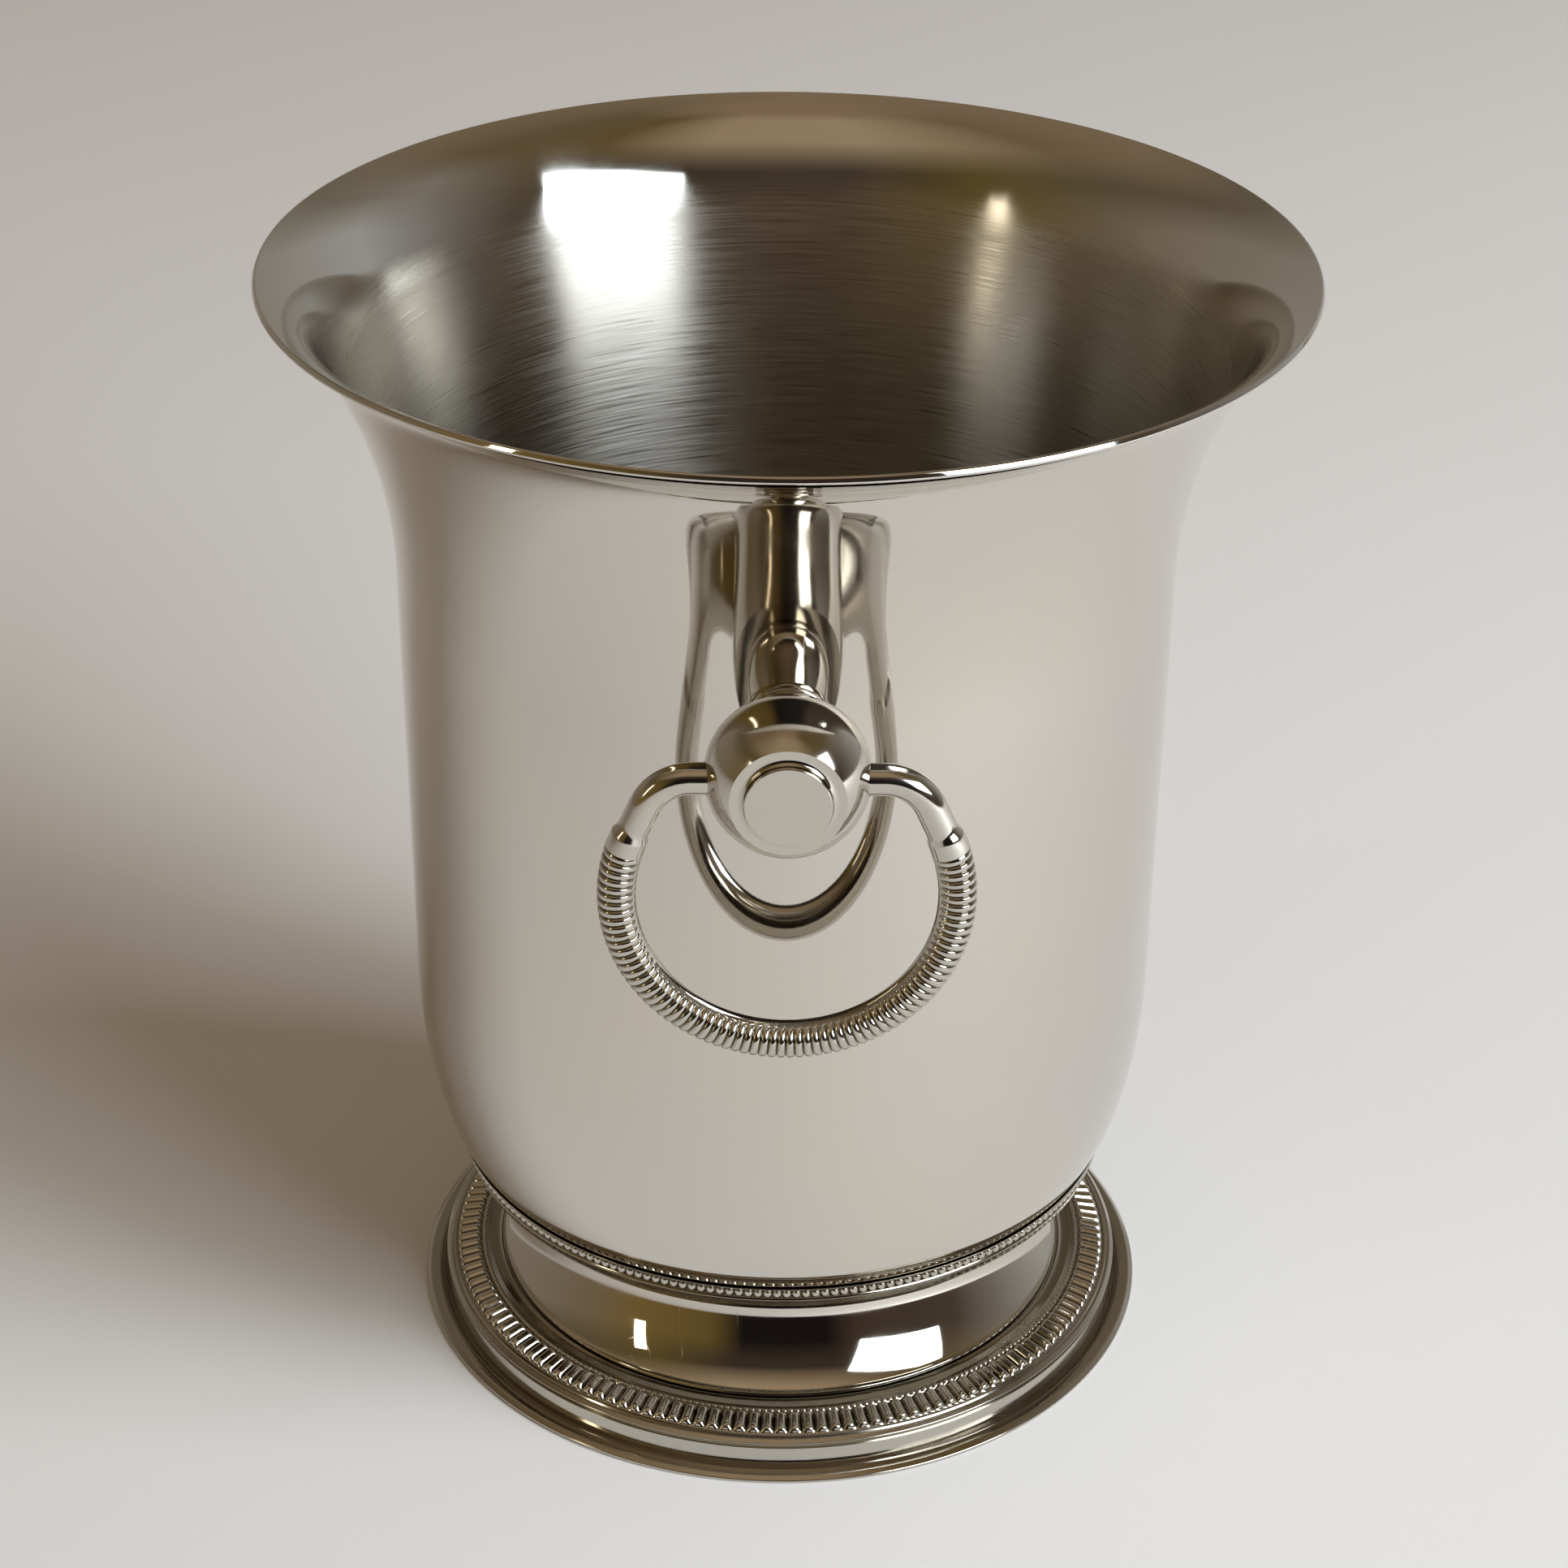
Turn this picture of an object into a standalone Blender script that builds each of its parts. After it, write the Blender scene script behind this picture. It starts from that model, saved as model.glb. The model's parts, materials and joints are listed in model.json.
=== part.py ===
"""Champagne bucket: a drawn bowl with a flared lip on a reeded foot, and two hanging ring handles.

Units are metres. The origin is the centre of the face that the foot rests on, and +Z is up. The lugs point
along -Y (front) and +Y (back), and each ring hangs on an axis along X through the ball of its lug.
"""

import math

import bmesh
import bpy
from mathutils import Vector

MM = 0.001
GAP = 0.3 * MM                    # kept between pieces that fit each other

# Bowl
RIM_R = 100.0 * MM
HEIGHT = 230.2 * MM
SHEET = 1.4 * MM
FLOOR_Z = 36.0 * MM               # outer face of the bowl's flat floor
CORNER_R = 60.8 * MM              # the lower corner is a quarter of an ellipse round this point
CORNER_Z = 80.0 * MM
CORNER_WIDTH = 14.7 * MM
WAIST_R = 75.9 * MM               # wall where the flare starts
FLARE_Z = 167.0 * MM
FLARE_POWER = 2.2
LIP_TURN = 4.4 * MM               # how much wider the sharply turned lip makes the flare
LIP_TURN_POWER = 24
LIP_SLOPE = math.radians(60)      # of the sheet at the lip, from upright
LIP_BULGE = 0.3 * MM              # how far the lip's edge is rounded
LIP_Z = HEIGHT - SHEET * math.sin(LIP_SLOPE)

# Foot
NECK_WAIST_R = 49.45 * MM
NECK_WAIST_Z = 31.7 * MM
NECK_TOP_WIDTH = 9.0 * MM         # half axes of the short curve from the waist out to the web
NECK_TOP_HEIGHT = 2.6 * MM
NECK_SWEEP_R = 31.0 * MM          # of the hollow sweep from the waist down to the border
NECK_EDGE_ANGLE = math.radians(47)
NECK_EDGE_WIDTH = 0.6 * MM        # of the neck's turned bottom edge
NECK_EDGE_DROP = 0.2 * MM
NECK_WALL = 1.2 * MM
NECK_BASE_Z = 8.5 * MM
WEB_R = 61.0 * MM
WEB_TOP_Z = FLOOR_Z - GAP
WEB_THICKNESS = 1.2 * MM
WEB_BOTTOM_Z = WEB_TOP_Z - WEB_THICKNESS
WEB_HOLE_R = 7.0 * MM
COLLAR_BOTTOM_Z = 34.6 * MM
COLLAR_BOTTOM_R = 64.6 * MM
COLLAR_MIDDLE_Z = 39.4 * MM
COLLAR_MIDDLE_R = 68.2 * MM
COLLAR_TOP_Z = 42.6 * MM
COLLAR_TOP_R = 69.3 * MM
COLLAR_SEAT_LOW = math.radians(-80)   # part of the bowl's lower corner that the collar fits
COLLAR_SEAT_HIGH = math.radians(-58)
COLLAR_SEAT_STEPS = 4
LEDGE_R = 56.5 * MM               # inner edge of the border, under the neck
LEDGE_Z = 8.2 * MM
REED_INNER_R = 63.6 * MM
REED_OUTER_R = 69.8 * MM
REED_TOP_Z = 9.2 * MM
REED_END_Z = 8.3 * MM             # the reeds slope down to here, then round over
REED_ROUND = 0.6 * MM
ROLL_R = 71.4 * MM                # roll between the reeds and the upright band
ROLL_Z = 6.9 * MM
ROLL_OUTER_R = 72.3 * MM
ROLL_OUTER_Z = 6.0 * MM
WALL_TOP_R = 72.0 * MM            # upright band, leaning slightly in towards its top
WALL_TOP_Z = 5.2 * MM
WALL_FOOT_R = 72.9 * MM
WALL_FOOT_Z = 0.6 * MM
FOOT_R = 77.0 * MM
FLANGE_CREST_R = 74.8 * MM
FLANGE_THICKNESS = 1.4 * MM
FLANGE_EDGE = 0.6 * MM
FLANGE_ROUND = 0.4 * MM
REST_INNER_R = 71.0 * MM          # flat face that the bucket stands on, from here to the flange

# Foot fixing
STUD_R = 4.0 * MM
STUD_PAD_R = 6.2 * MM
STUD_PAD_THICKNESS = 1.0 * MM
STUD_END_Z = 20.5 * MM
STUD_BEVEL = 0.6 * MM
STUD_HOLE_R = STUD_R + 0.4 * MM
PLATE_R = 20.0 * MM
PLATE_THICKNESS = 2.0 * MM
WASHER_R = 8.5 * MM
WASHER_THICKNESS = 1.6 * MM
NUT_ACROSS_FLATS = 13.0 * MM
NUT_HEIGHT = 6.5 * MM

# Lug: heights along it are from the ball's centre, outward positive
LUG_Z = 171.6 * MM
PIVOT_OUT = 95.35 * MM            # ring's axis from the bucket's
BALL_R = 14.6 * MM
BALL_EQUATOR = -1.8 * MM          # the ball's widest circle, from the ring's axis
BALL_FRONT = 14.6 * MM            # half axes of its two halves
BALL_REAR = 11.3 * MM
BALL_FACE = 8.8 * MM              # plane across the front of the ball
BALL_BACK = -7.5 * MM             # plane where the ball meets its stalk
BALL_FRONT_STEPS = 5
BALL_REAR_STEPS = 3
STALK_BELL_STEPS = 5
CAP_R = 7.6 * MM
CAP_PROUD = 1.5 * MM
CAP_SEAT = 1.0 * MM
CAP_BEVEL = 0.3 * MM
TIE_R = 2.5 * MM                  # threaded stud through the lug
TIE_BORE_R = TIE_R + GAP
TIE_BORE_END = -4.0 * MM
TIE_START = -18.7 * MM
PAD_R = 8.3 * MM
PAD_FRONT = -17.6 * MM
PAD_BACK = -20.5 * MM             # before it is cut to the wall
STALK_FLANGE_R = 6.3 * MM
STALK_FLANGE_THICKNESS = 0.9 * MM
STALK_NECK_R = 5.2 * MM
STALK_BELL_R = 9.4 * MM
STALK_BELL_EDGE = 0.7 * MM        # straight edge of the bell, against the ball
STALK_BELL_DEPTH = 8.3 * MM       # the bell swells from the neck over this length

# Ring handle
ARM_R = 2.85 * MM
GRIP_R = 3.45 * MM
LOOP_R = 29.9 * MM                # centreline of the round part
LOOP_DROP = 23.35 * MM            # its centre, below the pivot
GRIP_ANGLE = math.radians(24)     # the grip starts this far above the loop's horizontal diameter
BEND_R = 9.0 * MM
ARM_END_X = 9.5 * MM              # end of an arm, inside the ball
ARM_BORE_R = ARM_R + GAP
LOOP_STEPS = 28
BEND_STEPS = 5
SHOULDER = 0.4 * MM               # length of the step from arm to grip

CORNER_STEPS = 7
FLARE_STEPS = 7
FLARE_CROWDING = 1.6              # above 1, the flare's steps are closer together near the lip
BODY_STEPS = 48
SMALL_STEPS = 20
HEXAGON = 6
SMOOTH_ANGLE = math.radians(32)
MERGE = 1e-6                      # metres

SILVER_COLOUR = (0.70, 0.675, 0.63)
STEEL_COLOUR = (0.55, 0.55, 0.54)


def clear_scene():
    for obj in list(bpy.data.objects):
        bpy.data.objects.remove(obj, do_unlink=True)


def metal(name, colour, roughness):
    material = bpy.data.materials.new(name)
    material.use_nodes = True
    shader = material.node_tree.nodes["Principled BSDF"]
    shader.inputs["Base Color"].default_value = (*colour, 1.0)
    shader.inputs["Metallic"].default_value = 1.0
    shader.inputs["Roughness"].default_value = roughness
    return material


def silver(name):
    return metal(name, SILVER_COLOUR, 0.08)


def steel(name):
    return metal(name, STEEL_COLOUR, 0.35)


def add(name, data, parent=None):
    obj = bpy.data.objects.new(name, data)
    bpy.context.scene.collection.objects.link(obj)
    obj.parent = parent
    return obj


def turned(name, outline, material=None, steps=BODY_STEPS, ring=False, parent=None):
    """A solid turned from (radius, height) points. A ring's outline is closed, and others end on the axis."""
    bm = bmesh.new()
    verts = [bm.verts.new((r, 0.0, z)) for r, z in outline]
    edges = [bm.edges.new(pair) for pair in zip(verts, verts[1:])]
    if ring:
        edges.append(bm.edges.new((verts[-1], verts[0])))
    bmesh.ops.spin(
        bm, geom=verts + edges, cent=(0, 0, 0), axis=(0, 0, 1), angle=2 * math.pi, steps=steps, use_merge=True
    )
    bmesh.ops.remove_doubles(bm, verts=bm.verts, dist=MERGE)
    bmesh.ops.recalc_face_normals(bm, faces=bm.faces)
    return finished(name, bm, material, parent)


def finished(name, bm, material, parent=None):
    mesh = bpy.data.meshes.new(name)
    bm.to_mesh(mesh)
    bm.free()
    mesh.shade_smooth()
    mesh.set_sharp_from_angle(angle=SMOOTH_ANGLE)
    if material:
        mesh.materials.append(material)
    return add(name, mesh, parent)


def cut(obj, cutter):
    boolean = obj.modifiers.new(cutter.name, "BOOLEAN")
    boolean.operation = "DIFFERENCE"
    boolean.object = cutter
    cutter.hide_render = True
    cutter.display_type = "WIRE"


def ellipse(centre, width, height, start, end, steps):
    """Points from one angle to another, both from the +radius direction towards +height."""
    angles = [start + (end - start) * i / steps for i in range(steps + 1)]
    return [(centre[0] + width * math.cos(a), centre[1] + height * math.sin(a)) for a in angles]


def offset(points, distance):
    """The points moved to the left of their direction of travel."""
    moved = []
    for i, point in enumerate(points):
        before = Vector(points[max(i - 1, 0)])
        after = Vector(points[min(i + 1, len(points) - 1)])
        along = (after - before).normalized()
        moved.append((point[0] - along.y * distance, point[1] + along.x * distance))
    return moved


def flare_radius(z):
    rise = (z - FLARE_Z) / (LIP_Z - FLARE_Z)
    return WAIST_R + (RIM_R - WAIST_R - LIP_TURN) * rise**FLARE_POWER + LIP_TURN * rise**LIP_TURN_POWER


def corner_points(start, end, steps):
    """Part of the bowl's lower corner, from the floor upwards."""
    return ellipse((CORNER_R, CORNER_Z), CORNER_WIDTH, CORNER_Z - FLOOR_Z, start, end, steps)


def bowl_outside():
    """The bowl's outer face, from the middle of its floor to the lip."""
    corner = corner_points(math.radians(-90), 0, CORNER_STEPS)
    shares = [1 - (1 - i / FLARE_STEPS) ** FLARE_CROWDING for i in range(FLARE_STEPS + 1)]
    heights = [FLARE_Z + (LIP_Z - FLARE_Z) * share for share in shares]
    return [(0.0, FLOOR_Z), *corner, *((flare_radius(z), z) for z in heights)]


def make_bowl():
    outside = bowl_outside()
    inside = offset(outside, SHEET)
    inside[0] = (0.0, FLOOR_Z + SHEET)
    lip = (
        (inside[-1][0] + outside[-1][0]) / 2 + LIP_BULGE * math.sin(LIP_SLOPE),
        (inside[-1][1] + outside[-1][1]) / 2 + LIP_BULGE * math.cos(LIP_SLOPE),
    )
    turned("bucket_shell", [*inside, lip, *reversed(outside)], silver("shell_silver"))


def make_collar():
    """The beaded ring that hides the joint of bowl and foot."""
    seat = offset(corner_points(COLLAR_SEAT_LOW, COLLAR_SEAT_HIGH, COLLAR_SEAT_STEPS), -GAP)
    outline = [
        (COLLAR_TOP_R, COLLAR_TOP_Z),
        (COLLAR_MIDDLE_R, COLLAR_MIDDLE_Z),
        (COLLAR_BOTTOM_R, COLLAR_BOTTOM_Z),
        (WEB_R + GAP, COLLAR_BOTTOM_Z),
        (WEB_R + GAP, WEB_TOP_Z),
        *seat,
    ]
    turned("bead_collar", outline, silver("collar_silver"), ring=True)


def make_neck():
    """The waisted upper part of the foot, closed at its top by a flat web."""
    top_centre = (NECK_WAIST_R + NECK_TOP_WIDTH, NECK_WAIST_Z)
    sweep_centre = (NECK_WAIST_R + NECK_SWEEP_R, NECK_WAIST_Z)
    upper = ellipse(top_centre, -NECK_TOP_WIDTH, NECK_TOP_HEIGHT, math.radians(90), 0, 3)
    lower = ellipse(sweep_centre, -NECK_SWEEP_R, -NECK_SWEEP_R, 0, NECK_EDGE_ANGLE, 5)
    inside = offset(lower, -NECK_WALL)
    edge_r = lower[-1][0] + NECK_EDGE_WIDTH
    outline = [
        (WEB_R, WEB_TOP_Z),
        (WEB_R, WEB_BOTTOM_Z),
        *upper[:-1],
        *lower,
        (edge_r, lower[-1][1] - NECK_EDGE_DROP),
        (edge_r, NECK_BASE_Z),
        (inside[-1][0], NECK_BASE_Z),
        *reversed(inside[:-1]),
        (inside[0][0], WEB_BOTTOM_Z),
        (WEB_HOLE_R, WEB_BOTTOM_Z),
        (WEB_HOLE_R, WEB_TOP_Z),
    ]
    turned("foot_neck", outline, silver("neck_silver"), ring=True)


def make_border():
    """The struck border of the foot: a ledge for the neck, the reeded band, an upright band and the flange."""
    outline = [
        (LEDGE_R, LEDGE_Z),
        (REED_INNER_R, LEDGE_Z),
        (REED_INNER_R + REED_ROUND, REED_TOP_Z),
        (REED_OUTER_R - REED_ROUND, REED_END_Z),
        (REED_OUTER_R, REED_END_Z - REED_ROUND),
        (ROLL_R, ROLL_Z),
        (ROLL_OUTER_R, ROLL_OUTER_Z),
        (WALL_TOP_R, WALL_TOP_Z),
        (WALL_FOOT_R, WALL_FOOT_Z),
        (FLANGE_CREST_R, FLANGE_THICKNESS),
        (FOOT_R, FLANGE_EDGE),
        (FOOT_R - FLANGE_ROUND, 0.0),
        (REST_INNER_R, 0.0),
        (REST_INNER_R, WALL_TOP_Z),
        (REED_OUTER_R - REED_ROUND, ROLL_OUTER_Z),
        (LEDGE_R, LEDGE_Z - NECK_WALL),
    ]
    turned("foot_border", outline, silver("border_silver"), ring=True)


def washer_outline(inner, outer, bottom, thickness):
    return [(outer, bottom + thickness), (outer, bottom), (inner, bottom), (inner, bottom + thickness)]


def rod_outline(radius, bottom, top):
    return [(0.0, top), (radius, top), (radius, bottom), (0.0, bottom)]


def make_foot_fixing():
    """A stud on the bowl's floor, with the plate, washer and nut that clamp the neck's web to it."""
    pad_z = WEB_TOP_Z - STUD_PAD_THICKNESS
    stud = [
        (0.0, WEB_TOP_Z),
        (STUD_PAD_R, WEB_TOP_Z),
        (STUD_PAD_R, pad_z),
        (STUD_R, pad_z),
        (STUD_R, STUD_END_Z + STUD_BEVEL),
        (STUD_R - STUD_BEVEL, STUD_END_Z),
        (0.0, STUD_END_Z),
    ]
    turned("foot_stud", stud, steel("stud_steel"), SMALL_STEPS)

    plate_z = WEB_BOTTOM_Z - GAP - PLATE_THICKNESS
    plate = washer_outline(STUD_HOLE_R, PLATE_R, plate_z, PLATE_THICKNESS)
    turned("foot_clamp_plate", plate, steel("plate_steel"), SMALL_STEPS, ring=True)

    washer_z = plate_z - GAP - WASHER_THICKNESS
    washer = washer_outline(STUD_HOLE_R, WASHER_R, washer_z, WASHER_THICKNESS)
    turned("foot_washer", washer, steel("washer_steel"), SMALL_STEPS, ring=True)

    nut_z = washer_z - GAP - NUT_HEIGHT
    nut_r = NUT_ACROSS_FLATS / 2 / math.cos(math.pi / HEXAGON)
    hexagon = turned("foot_nut", rod_outline(nut_r, nut_z, nut_z + NUT_HEIGHT), steel("nut_steel"), HEXAGON)
    cut(hexagon, turned("nut_bore", rod_outline(STUD_HOLE_R, nut_z - MM, washer_z), steps=SMALL_STEPS))


def wall_cutter():
    """The bowl's outside near the lugs, one gap larger: it shapes the back of each wall pad."""
    near = [(r + GAP, z) for r, z in bowl_outside() if z >= CORNER_Z]
    outline = [(0.0, near[-1][1]), *reversed(near), (0.0, near[0][1])]
    return turned("wall_cutter", outline)


def arm_bore(side, parent):
    """The blind bore in a ball for one arm of its ring."""
    outline = rod_outline(ARM_BORE_R, 0.0, BALL_R)
    bore = turned(f"arm_bore_{parent.name}_{side}", outline, steps=SMALL_STEPS, parent=parent)
    sign = 1 if side == "right" else -1
    bore.location.x = sign * (ARM_END_X - GAP)
    bore.rotation_euler.y = sign * math.radians(90)
    return bore


def make_lug(end, pivot, wall):
    """The turned pieces that hold one ring: wall pad, stalk, ball, face cap and the tie stud through them."""
    pieces = {}

    def piece(name, outline, material, ring=False):
        obj = turned(f"{name}_{end}", outline, material(f"{name}_{end}_metal"), SMALL_STEPS, ring, pivot)
        obj.rotation_euler.x = math.radians(90)
        pieces[name] = obj

    pad = washer_outline(TIE_BORE_R, PAD_R, PAD_BACK, PAD_FRONT - PAD_BACK)
    piece("wall_pad", pad, silver, ring=True)

    flange = PAD_FRONT + GAP
    bell = BALL_BACK - GAP
    swell = []
    for i in range(STALK_BELL_STEPS + 1):
        share = 1 - i / STALK_BELL_STEPS
        radius = STALK_NECK_R + (STALK_BELL_R - STALK_NECK_R) * math.sin(math.pi / 2 * share)
        swell.append((radius, bell - STALK_BELL_DEPTH + (STALK_BELL_DEPTH - STALK_BELL_EDGE) * share))
    stalk = [
        (STALK_BELL_R, bell),
        *swell,
        (STALK_FLANGE_R, flange + STALK_FLANGE_THICKNESS),
        (STALK_FLANGE_R, flange),
        (TIE_BORE_R, flange),
        (TIE_BORE_R, bell),
    ]
    piece("stalk", stalk, silver, ring=True)

    seat_r = CAP_R + GAP
    equator = (0.0, BALL_EQUATOR)
    front = math.asin((BALL_FACE - BALL_EQUATOR) / BALL_FRONT)
    back = math.asin((BALL_BACK - BALL_EQUATOR) / BALL_REAR)
    ball = [
        (0.0, BALL_FACE - CAP_SEAT),
        (seat_r, BALL_FACE - CAP_SEAT),
        (seat_r, BALL_FACE),
        *ellipse(equator, BALL_R, BALL_FRONT, front, 0, BALL_FRONT_STEPS),
        *ellipse(equator, BALL_R, BALL_REAR, 0, back, BALL_REAR_STEPS)[1:],
        (TIE_BORE_R, BALL_BACK),
        (TIE_BORE_R, TIE_BORE_END),
        (0.0, TIE_BORE_END),
    ]
    piece("ball", ball, silver)

    cap_top = BALL_FACE + CAP_PROUD
    cap_base = BALL_FACE - CAP_SEAT + GAP
    cap = [
        (0.0, cap_top),
        (CAP_R - CAP_BEVEL, cap_top),
        (CAP_R, cap_top - CAP_BEVEL),
        (CAP_R, cap_base),
        (0.0, cap_base),
    ]
    piece("ball_cap", cap, silver)

    piece("tie_stud", rod_outline(TIE_R, TIE_START, TIE_BORE_END - GAP), steel)

    cut(pieces["wall_pad"], wall)
    for side in ("left", "right"):
        cut(pieces["ball"], arm_bore(side, pivot))


def ring_path():
    """(x, z, section radius) along one half of a ring, from the end in the ball to the bottom of the loop."""
    down = Vector((math.sin(GRIP_ANGLE), -math.cos(GRIP_ANGLE)))
    grip = Vector((LOOP_R * math.cos(GRIP_ANGLE), LOOP_R * math.sin(GRIP_ANGLE) - LOOP_DROP))
    turn = math.pi / 2 - GRIP_ANGLE
    bend_end_z = -BEND_R * (1 - math.cos(turn))
    straight = (bend_end_z - grip.y) / -down.y
    bend_x = grip.x - straight * down.x - BEND_R * math.sin(turn)
    path = [(ARM_END_X, 0.0, ARM_R)]
    for i in range(BEND_STEPS + 1):
        angle = turn * i / BEND_STEPS
        path.append((bend_x + BEND_R * math.sin(angle), -BEND_R * (1 - math.cos(angle)), ARM_R))
    shoulder = grip - down * SHOULDER
    path.append((shoulder.x, shoulder.y, ARM_R))
    sweep = GRIP_ANGLE + math.pi / 2
    for i in range(LOOP_STEPS // 2 + 1):
        angle = GRIP_ANGLE - sweep * i / (LOOP_STEPS // 2)
        path.append((LOOP_R * math.cos(angle), LOOP_R * math.sin(angle) - LOOP_DROP, GRIP_R))
    return path


def make_ring(end, pivot):
    half = ring_path()
    other_half = [(-x, z, r) for x, z, r in reversed(half[:-1])]
    points = half + other_half
    curve = bpy.data.curves.new(f"ring_{end}", "CURVE")
    curve.dimensions = "3D"
    curve.bevel_depth = GRIP_R
    curve.bevel_resolution = 3
    curve.use_fill_caps = True
    curve.materials.append(silver(f"ring_{end}_metal"))
    spline = curve.splines.new("POLY")
    spline.points.add(len(points) - 1)
    for target, (x, z, radius) in zip(spline.points, points):
        target.co = (x, 0.0, z, 1.0)
        target.radius = radius / GRIP_R
    spline.use_smooth = True
    add(f"ring_{end}", curve, pivot)


def main():
    clear_scene()
    make_bowl()
    make_collar()
    make_neck()
    make_border()
    make_foot_fixing()
    wall = wall_cutter()
    for end, turn in (("front", 0.0), ("back", math.pi)):
        pivot = add(f"pivot_{end}", None)
        pivot.location = (math.sin(turn) * PIVOT_OUT, -math.cos(turn) * PIVOT_OUT, LUG_Z)
        pivot.rotation_euler.z = turn
        make_lug(end, pivot, wall)
        make_ring(end, pivot)


main()
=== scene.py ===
"""Looks of the champagne bucket: fine turned, beaded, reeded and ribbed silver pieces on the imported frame.

Units are metres, +Z is up, and the front lug points along -Y. Turned outlines are (radius, height) points.
"""

import json
import math

import bpy
import numpy as np
from mathutils import Matrix, Vector


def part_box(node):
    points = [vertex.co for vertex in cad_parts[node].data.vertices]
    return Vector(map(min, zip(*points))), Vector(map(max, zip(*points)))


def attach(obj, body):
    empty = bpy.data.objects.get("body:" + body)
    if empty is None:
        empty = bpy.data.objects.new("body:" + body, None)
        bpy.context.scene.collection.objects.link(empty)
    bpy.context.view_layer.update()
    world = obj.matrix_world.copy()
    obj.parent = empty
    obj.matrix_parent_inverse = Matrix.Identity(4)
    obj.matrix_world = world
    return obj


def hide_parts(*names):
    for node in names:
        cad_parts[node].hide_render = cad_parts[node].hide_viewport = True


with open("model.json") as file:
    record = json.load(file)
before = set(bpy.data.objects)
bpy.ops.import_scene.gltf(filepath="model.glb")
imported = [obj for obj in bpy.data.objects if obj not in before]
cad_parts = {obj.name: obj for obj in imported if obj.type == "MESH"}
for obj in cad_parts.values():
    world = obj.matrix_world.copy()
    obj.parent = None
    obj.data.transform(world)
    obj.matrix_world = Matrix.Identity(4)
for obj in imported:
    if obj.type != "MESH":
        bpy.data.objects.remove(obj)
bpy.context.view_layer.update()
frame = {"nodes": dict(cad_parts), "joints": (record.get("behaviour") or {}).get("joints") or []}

MM = 0.001
TURN = 2 * math.pi
ON_AXIS = 0.0001 * MM             # an outline point this near to the axis is one vertex
PLAY = 0.05 * MM                  # gap between the parts of a lug
SHARP = math.radians(40)          # edges that turn by more than this are shaded sharp

# Sizes taken from the frame
SHELL_LOW, SHELL_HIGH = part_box("bucket_shell")
RIM_R = SHELL_HIGH.x
HEIGHT = SHELL_HIGH.z
FLOOR_Z = SHELL_LOW.z
FOOT_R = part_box("foot_border")[1].x
COLLAR_LOW, COLLAR_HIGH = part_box("bead_collar")
NECK_LOW, NECK_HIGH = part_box("foot_neck")
HINGES = {joint["child"]: Vector(joint["pos_m"]) for joint in frame["joints"]}
PIVOT_OUT = -HINGES["front_ring"].y
LUG_Z = HINGES["front_ring"].z

# Bowl
SHEET = 1.4 * MM
CORNER_R = 60.8 * MM
CORNER_Z = 80.0 * MM
WALL_LOW_R = 75.5 * MM
WALL_HIGH_R = 75.9 * MM
FLARE_Z = 167.0 * MM
FLARE_POWER = 2.2
LIP_TURN = 4.4 * MM               # how much wider the sharply turned lip makes the flare
LIP_TURN_POWER = 24
LIP_Z = HEIGHT - SHEET * math.sin(math.radians(67))
LIP_FILLET = 0.45 * MM
FLOOR_FLAT_R = 40.0 * MM
OUTLINE_STEP = 1.2 * MM
BRUSHED_TOP_Z = 215.0 * MM        # the inside is brushed up to here and polished above

# Foot
BEADS = 224
BEAD_STEPS = 8
BEAD_Z = 40.3 * MM
BEAD_HALF = 1.05 * MM             # half of a bead's height
BEAD_LIFT = 0.75 * MM
REEDS = 156
REED_STEPS = 8
REED_IN = 64.9 * MM
REED_OUT = 69.9 * MM
REED_LIFT = 1.15 * MM
PEARLS = REEDS * 2                # tiny beads along the reeds' inner ends
PEARL_STEPS = 8
PEARL_R = 64.25 * MM
PEARL_HALF = 0.5 * MM
PEARL_LIFT = 0.4 * MM
PEARL_Z = 8.35 * MM
ROW_HALF = 0.46                   # half of a bead or pearl, as a share of the distance to the next
BODY_STEPS = 256
FOOT_STEPS = REEDS * 2
COLLAR_STEPS = BEADS
STUD_HOLE_R = 4.4 * MM            # in the clamp plate, the washer and the nut

# Lug, heights outward from the ball's centre
BALL_R = 14.6 * MM
BALL_EQUATOR = -1.8 * MM
BALL_FRONT = 14.6 * MM            # half axes of the ball before and behind its widest circle
BALL_REAR = 11.3 * MM
BALL_BACK = -7.5 * MM             # plane where the ball meets its stalk
FACE_R = 10.1 * MM
CAP_R = 7.6 * MM
CAP_SEAT = 7.8 * MM
CAP_TOP = 10.3 * MM
FLANGE_R = 6.3 * MM               # stalk, at the wall, at its thinnest and where it meets the ball
NECK_R = 5.2 * MM
BELL_R = 9.4 * MM
PAD_R = 8.3 * MM
PAD_FRONT = -17.6 * MM
PAD_BACK = -20.5 * MM             # before it is laid on the wall
TIE_BORE_R = 2.8 * MM
TIE_BORE_END = -4.0 * MM          # its blind end in the ball
LUG_STEPS = 96

# Ring handle
ARM_R = 2.85 * MM
GRIP_R = 3.45 * MM
LOOP_R = 29.9 * MM
LOOP_DROP = 23.35 * MM
GRIP_ANGLE = math.radians(24)
RIB_ANGLE = math.radians(18)      # the ribs start here, this far above the loop's horizontal diameter
BEND_R = 9.0 * MM
ARM_END_X = 9.5 * MM              # the arms turn in bores in the ball, and end this far from its middle
BORE_PLAY = 0.12 * MM
RIBS = 72
RIB_STEPS = 8
RIB_DEPTH = 0.62 * MM
RING_SIDES = 40


# ---------------------------------------------------------------- outlines

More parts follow.
